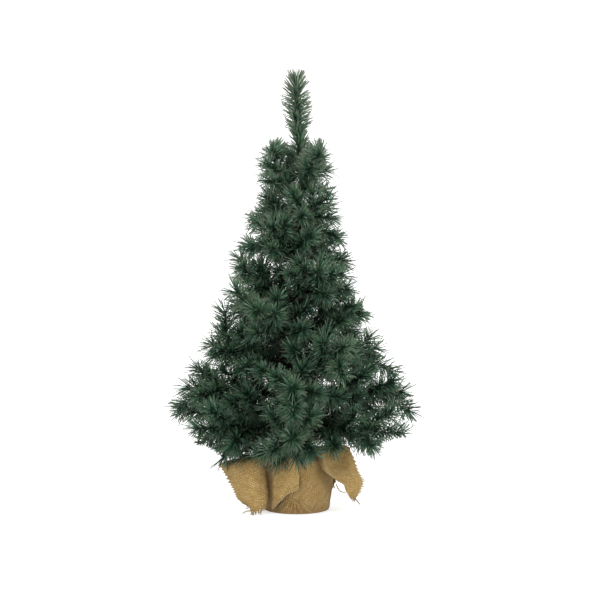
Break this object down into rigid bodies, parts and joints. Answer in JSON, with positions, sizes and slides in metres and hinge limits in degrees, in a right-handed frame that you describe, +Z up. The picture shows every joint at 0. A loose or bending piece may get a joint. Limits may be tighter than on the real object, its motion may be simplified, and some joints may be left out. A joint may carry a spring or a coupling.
{
  "type": "artificial tabletop tree",
  "caption": "Free-standing artificial tabletop fir with bendable wired branches on a central pole, set in a weighted pot wrapped in tied jute cloth.",
  "frame": {"origin": "centre of the wrapped pot's rest face, on the pole's axis", "axes": "+Z up along the pole, -Y the front seen in the picture, +X to the viewer's right"},
  "size_m": [0.3422, 0.3302, 0.6],
  "materials": {
    "jute": "matte",
    "cord": "matte",
    "pot_plastic": "matte",
    "cement": "matte",
    "pole_paint": "satin",
    "wire": "satin",
    "tape": "matte",
    "needles": "satin"
  },
  "bodies": {
    "trunk": {"jute_wrap": "jute", "neck_tie": "cord", "pot": "pot_plastic", "cement_ballast": "cement", "pole": "pole_paint", "branch_tails": "wire", "branch_bindings": "tape"},
    "branch_01": {"branch_01_wire": "wire", "branch_01_needles": "needles"},
    "branch_02": {"branch_02_wire": "wire", "branch_02_needles": "needles"},
    "branch_03": {"branch_03_wire": "wire", "branch_03_needles": "needles"},
    "branch_04": {"branch_04_wire": "wire", "branch_04_needles": "needles"},
    "branch_05": {"branch_05_wire": "wire", "branch_05_needles": "needles"},
    "branch_06": {"branch_06_wire": "wire", "branch_06_needles": "needles"},
    "branch_07": {"branch_07_wire": "wire", "branch_07_needles": "needles"},
    "branch_08": {"branch_08_wire": "wire", "branch_08_needles": "needles"},
    "branch_09": {"branch_09_wire": "wire", "branch_09_needles": "needles"},
    "branch_10": {"branch_10_wire": "wire", "branch_10_needles": "needles"},
    "branch_11": {"branch_11_wire": "wire", "branch_11_needles": "needles"},
    "branch_12": {"branch_12_wire": "wire", "branch_12_needles": "needles"},
    "branch_13": {"branch_13_wire": "wire", "branch_13_needles": "needles"},
    "branch_14": {"branch_14_wire": "wire", "branch_14_needles": "needles"},
    "branch_15": {"branch_15_wire": "wire", "branch_15_needles": "needles"},
    "branch_16": {"branch_16_wire": "wire", "branch_16_needles": "needles"},
    "branch_17": {"branch_17_wire": "wire", "branch_17_needles": "needles"},
    "branch_18": {"branch_18_wire": "wire", "branch_18_needles": "needles"},
    "branch_19": {"branch_19_wire": "wire", "branch_19_needles": "needles"},
    "branch_20": {"branch_20_wire": "wire", "branch_20_needles": "needles"},
    "branch_21": {"branch_21_wire": "wire", "branch_21_needles": "needles"},
    "branch_22": {"branch_22_wire": "wire", "branch_22_needles": "needles"},
    "branch_23": {"branch_23_wire": "wire", "branch_23_needles": "needles"},
    "branch_24": {"branch_24_wire": "wire", "branch_24_needles": "needles"},
    "branch_25": {"branch_25_wire": "wire", "branch_25_needles": "needles"},
    "leader": {"leader_wire": "wire", "leader_needles": "needles"}
  },
  "joints": [
    {"name": "bend_01", "type": "hinge", "parent": "trunk", "child": "branch_01", "pos_m": [-0.00009, -0.00465, 0.117], "axis": [-0.9998, 0.0192, 0], "range_deg": [-14, 5]},
    {"name": "bend_02", "type": "hinge", "parent": "trunk", "child": "branch_02", "pos_m": [0.00389, -0.00255, 0.1154], "axis": [-0.5476, -0.8368, 0], "range_deg": [-5, 10]},
    {"name": "bend_03", "type": "hinge", "parent": "trunk", "child": "branch_03", "pos_m": [0.00095, 0.00455, 0.117], "axis": [0.9789, -0.2045, 0], "range_deg": [-3, 12]},
    {"name": "bend_04", "type": "hinge", "parent": "trunk", "child": "branch_04", "pos_m": [-0.00418, 0.00204, 0.117], "axis": [0.4384, 0.8988, 0], "range_deg": [-4, 8]},
    {"name": "bend_05", "type": "hinge", "parent": "trunk", "child": "branch_05", "pos_m": [-0.00392, -0.0025, 0.117], "axis": [-0.5373, 0.8434, 0], "range_deg": [-5, 6]},
    {"name": "bend_06", "type": "hinge", "parent": "trunk", "child": "branch_06", "pos_m": [-0.00007, -0.00465, 0.1523], "axis": [-0.9999, 0.0157, 0], "range_deg": [-5, 15]},
    {"name": "bend_07", "type": "hinge", "parent": "trunk", "child": "branch_07", "pos_m": [0.00465, 0.00009, 0.1521], "axis": [0.0192, -0.9998, 0], "range_deg": [-12, 6]},
    {"name": "bend_08", "type": "hinge", "parent": "trunk", "child": "branch_08", "pos_m": [-0.00003, 0.00465, 0.143], "axis": [1, 0.007, 0], "range_deg": [-12, 11]},
    {"name": "bend_09", "type": "hinge", "parent": "trunk", "child": "branch_09", "pos_m": [-0.00465, -0.00005, 0.156], "axis": [-0.0105, 0.9999, 0], "range_deg": [-10, 7]},
    {"name": "bend_10", "type": "hinge", "parent": "trunk", "child": "branch_10", "pos_m": [0.0023, -0.00404, 0.189], "axis": [-0.8695, -0.4939, 0], "range_deg": [-15, 19]},
    {"name": "bend_11", "type": "hinge", "parent": "trunk", "child": "branch_11", "pos_m": [0.00419, 0.00202, 0.1794], "axis": [0.4337, -0.9011, 0], "range_deg": [-6, 12]},
    {"name": "bend_12", "type": "hinge", "parent": "trunk", "child": "branch_12", "pos_m": [-0.00128, 0.00447, 0.1933], "axis": [0.9613, 0.2756, 0], "range_deg": [-6, 7]},
    {"name": "bend_13", "type": "hinge", "parent": "trunk", "child": "branch_13", "pos_m": [-0.00458, -0.00081, 0.1973], "axis": [-0.1736, 0.9848, 0], "range_deg": [-9, 10]},
    {"name": "bend_14", "type": "hinge", "parent": "trunk", "child": "branch_14", "pos_m": [-0.00247, -0.00394, 0.2296], "axis": [-0.8471, 0.5314, 0], "range_deg": [-17, 16]},
    {"name": "bend_15", "type": "hinge", "parent": "trunk", "child": "branch_15", "pos_m": [0.00461, 0.00057, 0.2312], "axis": [0.1236, -0.9923, 0], "range_deg": [-13, 12]},
    {"name": "bend_16", "type": "hinge", "parent": "trunk", "child": "branch_16", "pos_m": [-0.00362, 0.00292, 0.2435], "axis": [0.628, 0.7782, 0], "range_deg": [-16, 9]},
    {"name": "bend_17", "type": "hinge", "parent": "trunk", "child": "branch_17", "pos_m": [0.00269, -0.00379, 0.2831], "axis": [-0.8151, -0.5793, 0], "range_deg": [-18, 13]},
    {"name": "bend_18", "type": "hinge", "parent": "trunk", "child": "branch_18", "pos_m": [0.00172, 0.00432, 0.272], "axis": [0.9291, -0.3697, 0], "range_deg": [-15, 11]},
    {"name": "bend_19", "type": "hinge", "parent": "trunk", "child": "branch_19", "pos_m": [-0.00439, -0.00154, 0.2753], "axis": [-0.3305, 0.9438, 0], "range_deg": [-17, 13]},
    {"name": "bend_20", "type": "hinge", "parent": "trunk", "child": "branch_20", "pos_m": [-0.0026, -0.00385, 0.3365], "axis": [-0.829, 0.5592, 0], "range_deg": [-18, 13]},
    {"name": "bend_21", "type": "hinge", "parent": "trunk", "child": "branch_21", "pos_m": [0.00246, 0.00394, 0.3382], "axis": [0.848, -0.5299, 0], "range_deg": [-16, 9]},
    {"name": "bend_22", "type": "hinge", "parent": "trunk", "child": "branch_22", "pos_m": [0.00341, -0.00316, 0.3817], "axis": [-0.6794, -0.7337, 0], "range_deg": [-24, 13]},
    {"name": "bend_23", "type": "hinge", "parent": "trunk", "child": "branch_23", "pos_m": [-0.00421, 0.00198, 0.3844], "axis": [0.4258, 0.9048, 0], "range_deg": [-22, 19]},
    {"name": "bend_24", "type": "hinge", "parent": "trunk", "child": "branch_24", "pos_m": [-0.0045, 0.00116, 0.435], "axis": [0.2487, 0.9686, 0], "range_deg": [-24, 8]},
    {"name": "bend_25", "type": "hinge", "parent": "trunk", "child": "branch_25", "pos_m": [0.00444, -0.00138, 0.432], "axis": [-0.2974, -0.9548, 0], "range_deg": [-24, 10]},
    {"name": "bend_leader", "type": "hinge", "parent": "trunk", "child": "leader", "pos_m": [0.00437, 0.00159, 0.452], "axis": [0.9397, -0.342, 0], "range_deg": [-35, 35]}
  ]
}
